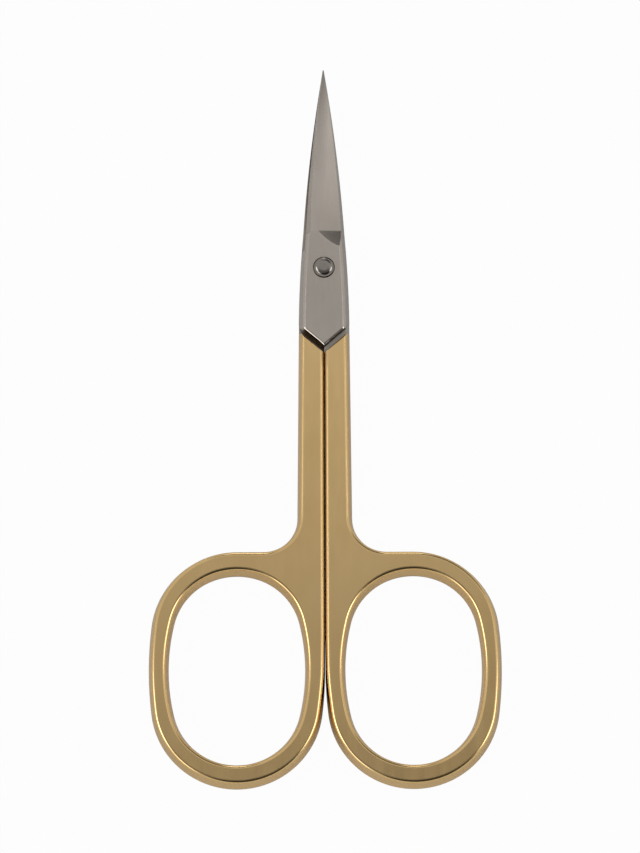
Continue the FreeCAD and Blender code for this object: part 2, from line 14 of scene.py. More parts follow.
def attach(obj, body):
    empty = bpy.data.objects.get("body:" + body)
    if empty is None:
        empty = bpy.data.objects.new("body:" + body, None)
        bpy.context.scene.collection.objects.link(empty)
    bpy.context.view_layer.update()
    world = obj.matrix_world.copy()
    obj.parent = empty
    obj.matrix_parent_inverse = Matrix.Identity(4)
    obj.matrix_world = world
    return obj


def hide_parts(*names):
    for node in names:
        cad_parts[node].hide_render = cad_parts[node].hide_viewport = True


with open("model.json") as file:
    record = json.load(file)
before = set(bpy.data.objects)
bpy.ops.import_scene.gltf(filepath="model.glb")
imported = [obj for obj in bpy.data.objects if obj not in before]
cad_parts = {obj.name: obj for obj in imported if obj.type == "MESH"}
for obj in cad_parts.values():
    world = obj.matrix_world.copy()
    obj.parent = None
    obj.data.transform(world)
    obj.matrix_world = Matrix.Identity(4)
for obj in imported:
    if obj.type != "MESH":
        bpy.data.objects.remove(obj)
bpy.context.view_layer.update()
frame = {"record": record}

MM = 0.001
PIVOT = Vector(frame["record"]["behaviour"]["joints"][0]["pos_m"])

# Camera: the photograph's direction, framing and slight turn
CAMERA_ELEVATION = math.radians(75.6)
CAMERA_DISTANCE = 1000 * MM
CAMERA_TARGET = Vector((-0.5416, 0.157, 1.9)) * MM
CAMERA_ROLL = math.radians(-0.19)
PIXELS_PER_MM = 8.203
FRAME_HEIGHT_PX = 853
SENSOR_MM = 36

# Both halves
HALF_THICKNESS = 1.9
INNER_FACE = 0.025            # height of a half's inner face above the joint
LEAST_LAND = 0.04             # upright land left along the thin edges

# Joint plate
PLATE_HALF_WIDTH = 3.1
PLATE_LENGTH = 7.38
PLATE_BULGE = 0.12
PLATE_INSET = 0.5
PLATE_CHAMFER = 0.26
CORNER_ROUNDING = 0.55
POINT_DROP = 2.68
SHOULDER_DISTANCE = 2.5
GROOVE_WIDTH = 0.5
GROOVE_FLOOR = 1.25
V_WALL_SLOPE = 10
V_CHAMFER = 0.34
V_CHAMFER_SLOPE = 0.5
CORNER_WAY = (0.5, 0.866)     # way inwards from the corners of the V
NECK_LIFT = 0.004             # of the groove floor's underside above the inner face
NECK_MARGIN = 0.02            # from the floor's side to the plate's
NECK_OVERLAP = 0.45           # of the floor with the plate

# Blade
BLADE_LENGTH = 25.2
HEEL_DISTANCE = 4.67
HEEL_HALF_WIDTH = 2.52
EDGE_BULGE = 0.27
TIP_HALF_WIDTH = 0.08
TIP_THICKNESS = 0.5
TIP_RISE = 1.3
SPINE_INSET = 0.34
SPINE_WALL = 1.0
SPINE_BEVEL = 0.54
RIDGE_OFFSET = 0.8
EDGE_BEVEL = 0.4
EDGE_THICKNESS = 1.54
PLUNGE_LENGTH = 2.02
PLUNGE_BOW = 1.6              # above 1, bows the facet's border outwards
HOLLOW_DEPTH = 0.1
PLATE_FADE = 0.5              # length in which the plate's sides turn into the blade's
HOLLOW_FADE = 1               # length in which the hollow starts
RIDGE_FADE = 3                # length in which the ridge softens

# Handle
HANDLE_GAP = 0.002
HANDLE_INSET = 0.36
INNER_INSET = 0.12            # of the wall where the shanks meet
INNER_ROUNDING = 0.5
INNER_FOOT = 1.2              # height at which the shanks meet
INNER_SIDE = (0.3, 1.6)       # distances from the long axis between which that wall ends
INNER_END = (-6, 2)           # the same along the ring, from its middle
FACE_MARGIN = 0.03            # strip of the flat face that follows the outline
EDGE_ROUNDING = 0.46
END_CHAMFER = 0.15
SHANK_HALF_WIDTH = 3.33
CROTCH_RADIUS = 4.2
RING_DISTANCE = 50.08
HOLE_HALF_WIDTH = 8.25
HOLE_HALF_HEIGHT = 11.74
HOLE_END_RADIUS = 7.77
RING_SIDE_WIDTH = 2.42
RING_END_WIDTH = 2.92
RING_END_RADIUS = 10.41
RING_MIDDLE_X = 10.69

# Rivet
RIVET_RADIUS = 0.9
HEAD_RADIUS = 1.25
HEAD_HEIGHT = 0.48
HEAD_RIM = 0.12
HEAD_EDGE = 0.04              # width of its rounded edge
HEAD_POWER = 6                # above 2, flattens the middle of the head
RECESS_DEPTH = 0.15
TAIL_RADIUS = 1.25
TAIL_DEPTH = 0.45
TAIL_BEVEL = 0.04             # of the tail's edge, half as high as wide
TAIL_STRIP = 0.3              # strip of the tail's flat face that follows its edge
RUNNING_CLEARANCE = 0.03
SEAT_GAP = 0.08               # dark line round the head
TIGHT_CLEARANCE = 0.01

V_SLOPE = POINT_DROP / PLATE_HALF_WIDTH
V_STRETCH = math.sqrt(1 + V_SLOPE ** 2)
SEAM_DROP = GROOVE_WIDTH * V_STRETCH
ARC_STEP = 0.3                # longest step along an arc of the handles
ROUNDING_STEPS = 6            # across a rounded edge
DOME_STEPS = 24               # from the middle of the rivet head to its edge
TURNED_SEGMENTS = 96          # round a turned shape
BORE_ENDS = (-1, 3)           # heights between which the bores are cut
CREVICE_SHADE_REACH = 0.8             # width of a crevice that gets painted shade

# Roundings of the creases of a blade
SIDE_CREASE = 0.06
V_CREASE = 0.04
TOP_CREASE = 0.07
CORNER_CREASE = 0.03
BEVEL_CREASE = 0.05
FACET_CREASE = 0.012
RIDGE_CREASE = 0.12


# Numbers

def blend(first, second, share):
    return first + (second - first) * share


def smooth_step(low, high, value):
    share = min(1, max(0, (value - low) / (high - low)))
    return share * share * (3 - 2 * share)


def soft_min(first, second, softness):
    """The lower of two heights, rounded where they meet."""
    near = max(0, softness - abs(first - second)) / softness
    return min(first, second) - near * near * softness / 4


# Meshes

def to_frame(point, turned_over):
    """From a drawing about the pivot in millimetres to the frame in metres."""
    x, y, z = point
    if turned_over:
        x, z = -x, -z
    return PIVOT + Vector((x, y, z)) * MM


def new_object(name, bm, turned_over=False, sharp_angle=35):
    """An object from a drawing, with its creases kept sharp."""
    for vertex in bm.verts:
        vertex.co = to_frame(vertex.co, turned_over)
    bmesh.ops.recalc_face_normals(bm, faces=bm.faces)
    mesh = bpy.data.meshes.new(name)
    bm.to_mesh(mesh)
    bm.free()
    mesh.shade_smooth()
    mesh.set_sharp_from_angle(angle=math.radians(sharp_angle))
    piece = bpy.data.objects.new(name, mesh)
    bpy.context.scene.collection.objects.link(piece)
    return piece


def bridge(bm, first, second):
    """Quads between two closed rows of vertices."""
    count = len(first)
    for i in range(count):
        j = (i + 1) % count
        bm.faces.new((first[i], first[j], second[j], second[i]))


def lathe(profile):
    """A closed turned shape from a profile of radius and height that starts and ends on the axis."""
    bm = bmesh.new()
    start = bm.verts.new((0, 0, profile[0][1]))
    end = bm.verts.new((0, 0, profile[-1][1]))
    segments = TURNED_SEGMENTS
    rows = []
    for radius, height in profile[1:-1]:
        turns = [2 * math.pi * i / segments for i in range(segments)]
        rows.append([bm.verts.new((radius * math.cos(t), radius * math.sin(t), height)) for t in turns])
    for first, second in zip(rows, rows[1:]):
        bridge(bm, first, second)
    for i in range(segments):
        j = (i + 1) % segments
        bm.faces.new((start, rows[0][i], rows[0][j]))
        bm.faces.new((end, rows[-1][j], rows[-1][i]))
    return bm


def apply_boolean(piece, tool, operation):
    """Join a tool to a piece or cut it out, and delete the tool."""
    modifier = piece.modifiers.new(operation, "BOOLEAN")
    modifier.operation = operation
    modifier.solver = "EXACT"
    modifier.object = tool
    graph = bpy.context.evaluated_depsgraph_get()
    mesh = bpy.data.meshes.new_from_object(piece.evaluated_get(graph))
    piece.modifiers.clear()
    old = piece.data
    piece.data = mesh
    mesh.name = piece.name
    bpy.data.meshes.remove(old)
    tool_mesh = tool.data
    bpy.data.objects.remove(tool)
    bpy.data.meshes.remove(tool_mesh)


# Handles

def arc(centre, radius, first, last, outward):
    """Points along an arc, each with the direction out of the outline."""
    steps = max(3, math.ceil(abs(last - first) * radius / ARC_STEP))
    points = []
    for i in range(steps + 1):
        angle = first + (last - first) * i / steps
        direction = Vector((math.cos(angle), math.sin(angle)))
        points.append((centre + direction * radius, direction * outward))
    return points


class Oval:
    """An oval of four arcs round the middle of a ring, as clockwise arcs."""

    def __init__(self, half_width, half_height, end_radius):
        wider = half_width - end_radius
        self.rise = half_height - end_radius
        self.inset = (self.rise ** 2 - wider ** 2) / (2 * wider)
        self.end_radius = end_radius
        self.side_radius = half_width + self.inset
        self.angle = math.atan2(self.rise, self.inset)
        self.middle = Vector((RING_MIDDLE_X, -RING_DISTANCE))

    def top(self, first, outward):
        centre = self.middle + Vector((0, self.rise))
        return arc(centre, self.end_radius, first, self.angle, outward)

    def right(self, outward):
        centre = self.middle - Vector((self.inset, 0))
        return arc(centre, self.side_radius, self.angle, -self.angle, outward)

    def bottom(self, outward):
        centre = self.middle - Vector((0, self.rise))
        return arc(centre, self.end_radius, -self.angle, self.angle - math.pi, outward)

    def left(self, last, outward):
        centre = self.middle + Vector((self.inset, 0))
        return arc(centre, self.side_radius, math.pi + self.angle, last, outward)


def without_repeats(points):
    """Leave out points that repeat the one before."""
    kept = []
    for point, direction in points:
        if not kept or (point - kept[-1][0]).length > 1e-4:
            kept.append((point, direction))
    if (kept[0][0] - kept[-1][0]).length < 1e-4:
        kept.pop()
    return kept


def seam_y(x):
    """Where the shank's end lies at a distance from the long axis."""
    return -PLATE_LENGTH - POINT_DROP - SEAM_DROP + V_SLOPE * x


def handle_stations():
    """The outline of a shank and ring, clockwise from its two corners at the V."""
    oval = Oval(HOLE_HALF_WIDTH + RING_SIDE_WIDTH, HOLE_HALF_HEIGHT + RING_END_WIDTH, RING_END_RADIUS)
    outer = Vector((PLATE_HALF_WIDTH, seam_y(PLATE_HALF_WIDTH)))
    ring_top = oval.middle + Vector((0, HOLE_HALF_HEIGHT + RING_END_WIDTH))
    centre = Vector((SHANK_HALF_WIDTH + CROTCH_RADIUS, ring_top.y + CROTCH_RADIUS))
    to_centre = centre - outer
    heading = math.atan2(to_centre.y, to_centre.x) - math.asin(CROTCH_RADIUS / to_centre.length)
    touch = heading + 1.5 * math.pi
    out_of_shank = Vector((-math.sin(heading), math.cos(heading)))
    crotch = arc(centre, CROTCH_RADIUS, touch, 1.5 * math.pi, -1)
    shank_end = crotch[0][0]
    points = []
    for share in (0.15, 0.35, 0.55, 0.75, 0.9):
        points.append((outer.lerp(shank_end, share), out_of_shank))
    points += crotch
    points.append((crotch[-1][0].lerp(ring_top, 0.5), Vector((0, 1))))
    points += oval.top(math.pi / 2, 1) + oval.right(1) + oval.bottom(1)
    points += oval.left(math.pi, 1)
    side = HANDLE_GAP / 2
    length = seam_y(side) + RING_DISTANCE
    for share in (0.1, 0.25, 0.4, 0.55, 0.7, 0.85, 0.95):
        points.append((Vector((side, -RING_DISTANCE + length * share)), Vector((-1, 0))))
    return without_repeats(points)


def inner_share(point):
    """How far a point of the outline belongs to the side where the shanks meet."""
    near_axis = 1 - smooth_step(*INNER_SIDE, point.x)
    low, high = INNER_END
    return near_axis * smooth_step(low - RING_DISTANCE, high - RING_DISTANCE, point.y)


def handle_row(stations, side, inner):
    """The outline drawn in by the insets of one row, each point with its height."""
    inset, end_inset, height = side
    inner_inset, _, inner_height = inner
    row = []
    for x, z in ((HANDLE_GAP / 2 + inner_inset, inner_height), (PLATE_HALF_WIDTH - inset, height)):
        row.append((x, seam_y(x) - end_inset * V_STRETCH, z))
    for point, out in stations:
        share = inner_share(point)
        x, y = point - out * blend(inset, inner_inset, share)
        row.append((x, y, blend(height, inner_height, share)))
    return row


def hole_row(stations, side):
    inset, _, height = side
    return [(*(point + out * inset), height) for point, out in stations]


def handle_profile(wall_inset, rounding, foot):
    """Rows from the upper flat face to the lower: inset of the walls, of the end, and height."""
    lean = math.atan2(wall_inset, HALF_THICKNESS - foot)
    turn = math.pi / 2 - lean
    start = wall_inset + rounding * math.tan(turn / 2)
    upper = [(start + FACE_MARGIN, END_CHAMFER + FACE_MARGIN, HALF_THICKNESS)]
    for i in range(ROUNDING_STEPS + 1):
        angle = turn * i / ROUNDING_STEPS
        inset = start - rounding * math.sin(angle)
        height = HALF_THICKNESS - rounding * (1 - math.cos(angle))
        upper.append((inset, max(0, END_CHAMFER - HALF_THICKNESS + height), height))
    last_inset, _, last_height = upper[-1]
    softness = 0.12
    for share in (0.75, 0.5, 0.3, 0.15, 0.05):
        bow = (math.sqrt(share ** 2 + softness ** 2) - softness) / (math.sqrt(1 + softness ** 2) - softness)
        upper.append((last_inset * bow, 0, blend(foot * share, last_height, share)))
    return upper + [(inset, end, -height) for inset, end, height in reversed(upper)]


def make_handle(name, turned_over):
    """One shank with its finger ring: walls widest midway, rounded edges, flat faces."""
    stations = handle_stations()
    hole = Oval(HOLE_HALF_WIDTH, HOLE_HALF_HEIGHT, HOLE_END_RADIUS)
    hole_stations = without_repeats(hole.top(math.pi - hole.angle, 1) + hole.right(1)
                                    + hole.bottom(1) + hole.left(math.pi - hole.angle, 1))
    bm = bmesh.new()
    outer_rows, hole_rows = [], []
    sides = handle_profile(HANDLE_INSET, EDGE_ROUNDING, 0)
    inners = handle_profile(INNER_INSET, INNER_ROUNDING, INNER_FOOT)
    for side, inner in zip(sides, inners):
        outer_rows.append([bm.verts.new(point) for point in handle_row(stations, side, inner)])
        hole_rows.append([bm.verts.new(point) for point in hole_row(hole_stations, side)])
    for rows in (outer_rows, hole_rows):
        for first, second in zip(rows, rows[1:]):
            bridge(bm, first, second)
    for outer, inner in ((outer_rows[0], hole_rows[0]), (outer_rows[-1], hole_rows[-1])):
        edges = []
        for row in (outer, inner):
            edges += [bm.edges.get((row[i - 1], row[i])) for i in range(len(row))]
        bmesh.ops.triangle_fill(bm, edges=edges, use_beauty=True)
    return new_object(name, bm, turned_over)


# Blades

def side_x(y):
    """Half the width of the joint plate."""
    share = (y + PLATE_LENGTH) / (PLATE_LENGTH + HEEL_DISTANCE)
    return blend(PLATE_HALF_WIDTH, HEEL_HALF_WIDTH, share) + 4 * PLATE_BULGE * share * (1 - share)


def blade_share(y):
    return max(0, (y - HEEL_DISTANCE) / (BLADE_LENGTH - HEEL_DISTANCE))


def edge_x(y):
    """The outline on the side of the cutting edge."""
    if y <= HEEL_DISTANCE:
        return side_x(y)
    share = blade_share(y)
    return blend(HEEL_HALF_WIDTH, TIP_HALF_WIDTH, share) + 4 * EDGE_BULGE * share * (1 - share)


def spine_step(y):
    """How far the spine stands inside the plain outline."""
    step = min(1, max(0, (y - SHOULDER_DISTANCE) / SPINE_INSET + 1)) * SPINE_INSET
    return step * (1 - blade_share(y))


CHAMFER_DROP = PLATE_CHAMFER * math.cos(math.atan(PLATE_INSET / HALF_THICKNESS))
CHAMFER_START = PLATE_INSET - PLATE_CHAMFER * math.sin(math.atan(PLATE_INSET / HALF_THICKNESS))
CHAMFER_SLOPE = CHAMFER_DROP / (PLATE_INSET + PLATE_CHAMFER - CHAMFER_START)
SIDE_SLOPE = HALF_THICKNESS / PLATE_INSET


def side_height(inset):
    """Height of the plate's leaning side and its chamfer."""
    chamfer = HALF_THICKNESS - CHAMFER_DROP + (inset - CHAMFER_START) * CHAMFER_SLOPE
    return soft_min(inset * SIDE_SLOPE, chamfer, SIDE_CREASE)


def v_height(inset):
    chamfer = HALF_THICKNESS - (V_CHAMFER - inset) * V_CHAMFER_SLOPE
    return soft_min(inset * V_WALL_SLOPE, chamfer, V_CREASE)


def plunge_height(x, y):
    """The facet that slopes from a bowed line on the joint plate down to the ground face."""
    share = (x + RIDGE_OFFSET) / (HEEL_HALF_WIDTH - EDGE_BEVEL + RIDGE_OFFSET)
    if share <= 0:
        return HALF_THICKNESS - share
    reach = PLUNGE_LENGTH * (1 - (1 - min(1, share)) ** PLUNGE_BOW)
    fall = (HALF_THICKNESS - EDGE_THICKNESS) * share
    return HALF_THICKNESS - fall * (1 - (HEEL_DISTANCE - y) / reach)


def plate_sides(x, y, corner_loss):
    """Top of the joint plate, before the plunge is cut."""
    limit = side_x(min(y, HEEL_DISTANCE))
    sides = side_height(limit - abs(x) - corner_loss)
    to_v = (y + PLATE_LENGTH + POINT_DROP - V_SLOPE * abs(x)) / V_STRETCH - corner_loss
    top = soft_min(sides, HALF_THICKNESS, TOP_CREASE)
    return soft_min(top, v_height(to_v), CORNER_CREASE)


def ground_sides(x, y):
    """Flat top of the blade, with its spine and the narrow bevel along its edge."""
    share = blade_share(y)
    outer = blend(HALF_THICKNESS, TIP_THICKNESS, share)
    edge = edge_x(y)
    spine = edge - SPINE_INSET * (1 - share)
    bevel = blend(SPINE_BEVEL, TIP_HALF_WIDTH / 2, share)
    wall = blend(SPINE_WALL, TIP_THICKNESS / 2, share)
    spine_side = wall + (x + spine) * (outer - wall) / bevel
    edge_bevel = blend(EDGE_BEVEL, TIP_HALF_WIDTH / 2, share)
    bevel_top = ground_face(edge - edge_bevel, y)
    edge_side = INNER_FACE + (edge - x) * (bevel_top - INNER_FACE) / edge_bevel
    top = soft_min(spine_side, outer, BEVEL_CREASE)
    return soft_min(top, edge_side, BEVEL_CREASE)


def ground_face(x, y):
    """The ground face, which falls from its ridge to the cutting edge."""
    share = blade_share(y)
    across = HEEL_HALF_WIDTH - EDGE_BEVEL + RIDGE_OFFSET
    fall = (HALF_THICKNESS - EDGE_THICKNESS) / across
    return blend(HALF_THICKNESS, TIP_THICKNESS, share) - (x + RIDGE_OFFSET * (1 - share)) * fall


def blade_rows():
    """Distances of the rows along the outline of a blade, from the V to the tip."""
    spans = [(-PLATE_LENGTH, -6.5, 22), (-6.5, 1.9, 34), (1.9, 2.7, 14), (2.7, HEEL_DISTANCE, 30),
             (HEEL_DISTANCE, 7, 18), (7, BLADE_LENGTH, 64)]
    rows = []
    for first, last, count in spans:
        rows += [blend(first, last, i / count) for i in range(count)]
    return rows + [BLADE_LENGTH]


def blade_columns():
    """Shares of the way across, closer together near the edges."""
    count = 84
    shares = [2 * i / count - 1 for i in range(count + 1)]
    return [0.5 * share + 0.5 * math.sin(share * math.pi / 2) for share in shares]


def corner_rounding(x, y):
    """How much the rounded corners of the V take off at a point, and the way inwards."""
    to_side = side_x(min(y, HEEL_DISTANCE)) - abs(x)
    to_v = (y + PLATE_LENGTH + POINT_DROP - V_SLOPE * abs(x)) / V_STRETCH
    if y > 0 or to_side > CORNER_ROUNDING or to_v > CORNER_ROUNDING:
        return 0, 0
    reach = math.hypot(CORNER_ROUNDING - to_side, CORNER_ROUNDING - to_v)
    rounded = CORNER_ROUNDING - reach
    return max(0, min(to_side, to_v) - rounded), max(0, -rounded)


def blade_point(row, column, curve):
    """Top and bottom of a blade at a place in its grid."""
    if row < HEEL_DISTANCE:
        share = (row + PLATE_LENGTH) / (HEEL_DISTANCE + PLATE_LENGTH)
        y = row - POINT_DROP * (1 - abs(column)) * (1 - share)
    else:
        y = row
    edge = edge_x(row)
    left = -(edge - spine_step(row))
    x = blend(left, edge, (column + 1) / 2)
    if row < SHOULDER_DISTANCE - SPINE_INSET:
        x = column * edge
    loss, shift = corner_rounding(x, y)
    if shift:
        across, along = CORNER_WAY
        x -= math.copysign(shift * across, x)
        y += shift * along
        loss, _ = corner_rounding(x, y)
    lift = curve * TIP_RISE * blade_share(y) ** 2
    ground = smooth_step(HEEL_DISTANCE - PLATE_FADE, HEEL_DISTANCE, y)
    sides = 0
    if ground < 1:
        sides += (1 - ground) * plate_sides(x, y, loss)
    if ground > 0:
        sides += ground * ground_sides(x, y)
    face = plunge_height(x, y) if y < HEEL_DISTANCE else ground_face(x, y)
    softened = smooth_step(HEEL_DISTANCE, HEEL_DISTANCE + RIDGE_FADE, y)
    crease = blend(FACET_CREASE, RIDGE_CREASE, softened)
    top = soft_min(sides, face, crease)
    hollowed = smooth_step(HEEL_DISTANCE, HEEL_DISTANCE + HOLLOW_FADE, y)
    hollow = HOLLOW_DEPTH * hollowed * (1 - blade_share(y))
    bottom = INNER_FACE + hollow * (1 - column ** 2)
    top = max(top, bottom + LEAST_LAND)
    return (x, y, top + lift), (x, y, bottom + lift)


def make_neck(name, turned_over):
    """Floor of the groove, which joins the plate to its own handle."""
    bm = bmesh.new()
    rows = []
    for height, lean in ((INNER_FACE + NECK_LIFT, 0.0), (GROOVE_FLOOR, GROOVE_FLOOR / SIDE_SLOPE)):
        outer = PLATE_HALF_WIDTH - NECK_MARGIN - lean
        inner = HANDLE_GAP / 2
        plan = [(inner, seam_y(inner)), (outer, seam_y(outer)),
                (outer, seam_y(outer) + SEAM_DROP + NECK_OVERLAP),
                (inner, seam_y(inner) + SEAM_DROP + NECK_OVERLAP)]
        rows.append([bm.verts.new((x, y, height)) for x, y in plan])
    bridge(bm, rows[0], rows[1])
    bm.faces.new(rows[0])
    bm.faces.new(reversed(rows[1]))
    return new_object(name, bm, turned_over)


def make_blade(name, curve, bore, turned_over):
    """One blade with its joint plate, as a grid of heights over its outline."""
    bm = bmesh.new()
    columns = blade_columns()
    tops, bottoms = [], []
    for row in blade_rows():
        points = [blade_point(row, column, curve) for column in columns]
        tops.append([bm.verts.new(top) for top, _ in points])
        bottoms.append([bm.verts.new(bottom) for _, bottom in points])
    for grid in (tops, bottoms):
        for first, second in zip(grid, grid[1:]):
            for i in range(len(first) - 1):
                bm.faces.new((first[i], first[i + 1], second[i + 1], second[i]))
    top_rim = tops[0] + [row[-1] for row in tops[1:]] + tops[-1][-2::-1] + [row[0] for row in tops[-2:0:-1]]
    low_rim = (bottoms[0] + [row[-1] for row in bottoms[1:]] + bottoms[-1][-2::-1]
               + [row[0] for row in bottoms[-2:0:-1]])
    bridge(bm, top_rim, low_rim)
    piece = new_object(name, bm, turned_over)
    apply_boolean(piece, make_neck(name + "_neck", turned_over), "UNION")
    apply_boolean(piece, new_object(name + "_bore", lathe(bore), turned_over), "DIFFERENCE")
    piece.data.set_sharp_from_angle(angle=math.radians(30))
    return piece


def head_bore():
    """The front half's hole, with the seat of the rivet head."""
    hole, seat = RIVET_RADIUS + RUNNING_CLEARANCE, HEAD_RADIUS + SEAT_GAP
    floor = HALF_THICKNESS - RECESS_DEPTH - RUNNING_CLEARANCE
    low, high = BORE_ENDS
    return [(0, low), (hole, low), (hole, floor), (seat, floor), (seat, high), (0, high)]


def tail_bore():
    """The rear half's hole, with the countersink of the rivet tail."""
    hole, rim = RIVET_RADIUS + TIGHT_CLEARANCE, TAIL_RADIUS + TIGHT_CLEARANCE
    low, high = BORE_ENDS
    sink = HALF_THICKNESS - TAIL_DEPTH
    return [(0, low), (hole, low), (hole, sink), (rim, HALF_THICKNESS), (rim, high), (0, high)]


# Rivet

def make_rivet(name):
    """The rivet: flattened dome with a rounded rim, plain shank and flush tail."""
    rim, crown = HALF_THICKNESS + HEAD_RIM, HALF_THICKNESS + HEAD_HEIGHT
    dome = crown - rim
    edge = HEAD_RADIUS - HEAD_EDGE
    profile = [(0, crown)]
    for i in range(1, DOME_STEPS + 1):
        radius = edge * i / DOME_STEPS
        profile.append((radius, crown - dome * (radius / HEAD_RADIUS) ** HEAD_POWER))
    slope = math.atan(dome * HEAD_POWER / HEAD_RADIUS * (edge / HEAD_RADIUS) ** (HEAD_POWER - 1))
    rounding = HEAD_EDGE / (1 - math.sin(slope))
    middle_x = HEAD_RADIUS - rounding
    middle_z = profile[-1][1] - rounding * math.cos(slope)
    for i in range(1, ROUNDING_STEPS + 1):
        angle = slope + (math.pi / 2 - slope) * i / ROUNDING_STEPS
        profile.append((middle_x + rounding * math.sin(angle), middle_z + rounding * math.cos(angle)))
    seat = HALF_THICKNESS - RECESS_DEPTH
    profile += [(HEAD_RADIUS, seat), (RIVET_RADIUS, seat), (RIVET_RADIUS, TAIL_DEPTH - HALF_THICKNESS),
                (TAIL_RADIUS, TAIL_BEVEL / 2 - HALF_THICKNESS),
                (TAIL_RADIUS - TAIL_BEVEL, -HALF_THICKNESS),
                (TAIL_RADIUS - TAIL_STRIP, -HALF_THICKNESS), (0, -HALF_THICKNESS)]
    return new_object(name, lathe(profile))


# Materials

# Values between which most of a noise lies
NOISE_LOW, NOISE_HIGH = 0.3, 0.7


def add_node(tree, kind, **settings):
    node = tree.nodes.new(kind)
    for name, value in settings.items():
        setattr(node, name, value)
    return node


def link(tree, source, target):
    tree.links.new(source, target)


def noise(tree, stretch, scale, detail):
    """Noise in the piece's own space, stretched along its axes."""
    place = add_node(tree, "ShaderNodeTexCoord")
    mapping = add_node(tree, "ShaderNodeMapping")
    mapping.inputs["Scale"].default_value = stretch
    texture = add_node(tree, "ShaderNodeTexNoise")
    texture.inputs["Scale"].default_value = scale
    texture.inputs["Detail"].default_value = detail
    link(tree, place.outputs["Object"], mapping.inputs["Vector"])
    link(tree, mapping.outputs["Vector"], texture.inputs["Vector"])
    return texture.outputs["Fac"]


def spread(tree, value, low, high):
    """A noise value spread over a range of numbers."""
    node = add_node(tree, "ShaderNodeMapRange")
    node.inputs["From Min"].default_value = NOISE_LOW
    node.inputs["From Max"].default_value = NOISE_HIGH
    node.inputs["To Min"].default_value = low
    node.inputs["To Max"].default_value = high
    link(tree, value, node.inputs["Value"])
    return node.outputs["Result"]


def tint(tree, value, first, second):
    """Two colours mixed by a noise value."""
    ramp = add_node(tree, "ShaderNodeValToRGB")
    ramp.color_ramp.elements[0].position = NOISE_LOW
    ramp.color_ramp.elements[0].color = first + (1,)
    ramp.color_ramp.elements[1].position = NOISE_HIGH
    ramp.color_ramp.elements[1].color = second + (1,)
    link(tree, value, ramp.inputs["Fac"])
    return ramp.outputs["Color"]


def crevice_shade(tree, colour, dark):
    """A colour with painted shade, darker in the crevices between the pieces where shade falls."""
    # painted shade: where ambient occlusion is low, the colour is mixed towards the dark shade colour
    openness = add_node(tree, "ShaderNodeAmbientOcclusion", samples=8)
    openness.inputs["Distance"].default_value = CREVICE_SHADE_REACH * MM
    unshaded = add_node(tree, "ShaderNodeMapRange")
    unshaded.inputs["From Min"].default_value = 0.25
    unshaded.inputs["From Max"].default_value = 0.9
    unshaded.inputs["To Min"].default_value = 0.12
    link(tree, openness.outputs["AO"], unshaded.inputs["Value"])
    mix = add_node(tree, "ShaderNodeMix", data_type="RGBA")
    sockets = [socket for socket in mix.inputs if socket.type == "RGBA"]
    sockets[0].default_value = dark + (1,)
    link(tree, unshaded.outputs["Result"], mix.inputs[0])
    link(tree, colour, sockets[1])
    return [socket for socket in mix.outputs if socket.type == "RGBA"][0]


def metal(name, colours, dark, roughness, grain, bump):
    """A metal with mottled colour, uneven roughness, fine grain and painted shade in its crevices."""
    material = bpy.data.materials.new(name)
    material.use_nodes = True
    tree = material.node_tree
    shader = tree.nodes["Principled BSDF"]
    shader.inputs["Metallic"].default_value = 1
    stretch, scale = grain
    lines = noise(tree, stretch, scale, 4)
    mottle = noise(tree, (1, 1, 1), 160, 3)
    # the base colour carries painted shade in the crevices
    link(tree, crevice_shade(tree, tint(tree, mottle, *colours), dark), shader.inputs["Base Color"])
    link(tree, spread(tree, lines, *roughness), shader.inputs["Roughness"])
    relief = add_node(tree, "ShaderNodeBump")
    relief.inputs["Strength"].default_value = bump
    relief.inputs["Distance"].default_value = 0.01 * MM
    link(tree, lines, relief.inputs["Height"])
    link(tree, relief.outputs["Normal"], shader.inputs["Normal"])
    return material


# Studio

def add_camera():
    data = bpy.data.cameras.new("camera")
    data.sensor_width = SENSOR_MM
    data.lens = SENSOR_MM * CAMERA_DISTANCE / MM * PIXELS_PER_MM / FRAME_HEIGHT_PX
    data.clip_start = 0.01
    camera = bpy.data.objects.new("camera", data)
    bpy.context.scene.collection.objects.link(camera)
    back = Vector((0, -math.cos(CAMERA_ELEVATION), math.sin(CAMERA_ELEVATION)))
    right = Vector((1, 0, 0))
    turn = Matrix((right, back.cross(right), back)).transposed() @ Matrix.Rotation(CAMERA_ROLL, 3, "Z")
    camera.matrix_world = Matrix.Translation(CAMERA_TARGET + back * CAMERA_DISTANCE) @ turn.to_4x4()
    bpy.context.scene.camera = camera


# How far the floor is plain white, by the kind of ray that meets it
FLOOR_WHITE_SHARES = [("Is Camera Ray", 0.97), ("Is Glossy Ray", 0.12), ("Is Transmission Ray", 0.12)]


